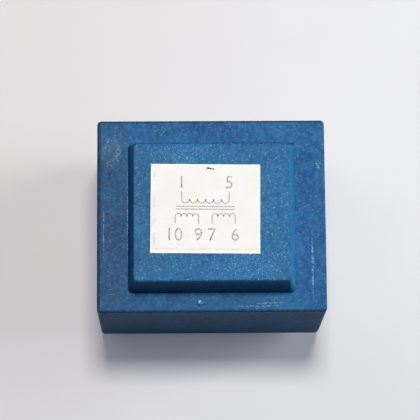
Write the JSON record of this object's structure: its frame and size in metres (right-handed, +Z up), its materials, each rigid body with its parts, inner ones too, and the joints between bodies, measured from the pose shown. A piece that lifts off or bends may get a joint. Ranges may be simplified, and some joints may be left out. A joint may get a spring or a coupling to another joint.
{
  "type": "pcb transformer",
  "caption": "Encapsulated transformer for a circuit board: blue moulded case with a stepped top and paper label, EI core and split bobbin in resin, round pins below.",
  "frame": {"origin": "centre of the case's rim, in the plane that seats on the board", "axes": "+Z up from the board, +X to the right along the width, +Y to the back, where the primary pins are"},
  "size_m": [0.0384, 0.0328, 0.0355],
  "materials": {
    "case_plastic": "moulded, glass filled, fine matt",
    "label_paper": "uncoated paper",
    "potting_resin": "poured, gloss",
    "lamination_steel": "oxidised silicon steel",
    "bobbin_nylon": "moulded nylon",
    "enamelled_copper": "enamelled copper wire",
    "polyester_tape": "polyester tape",
    "tinned_pin": "bright tin plate",
    "solder": "tin solder, satin"
  },
  "bodies": {
    "root": {"case": "case_plastic", "label": "label_paper", "potting_resin": "potting_resin", "back_e_laminations": "lamination_steel", "front_e_laminations": "lamination_steel", "back_i_laminations": "lamination_steel", "front_i_laminations": "lamination_steel", "bobbin": "bobbin_nylon", "primary_winding": "enamelled_copper", "inner_secondary_winding": "enamelled_copper", "outer_secondary_winding": "enamelled_copper", "secondary_separator_tape": "polyester_tape", "primary_outer_tape": "polyester_tape", "secondary_outer_tape": "polyester_tape", "pin_1": "tinned_pin", "pin_5": "tinned_pin", "pin_6": "tinned_pin", "pin_7": "tinned_pin", "pin_9": "tinned_pin", "pin_10": "tinned_pin", "solder_joint_1": "solder", "solder_joint_5": "solder", "solder_joint_6": "solder", "solder_joint_7": "solder", "solder_joint_9": "solder", "solder_joint_10": "solder"}
  },
  "joints": []
}
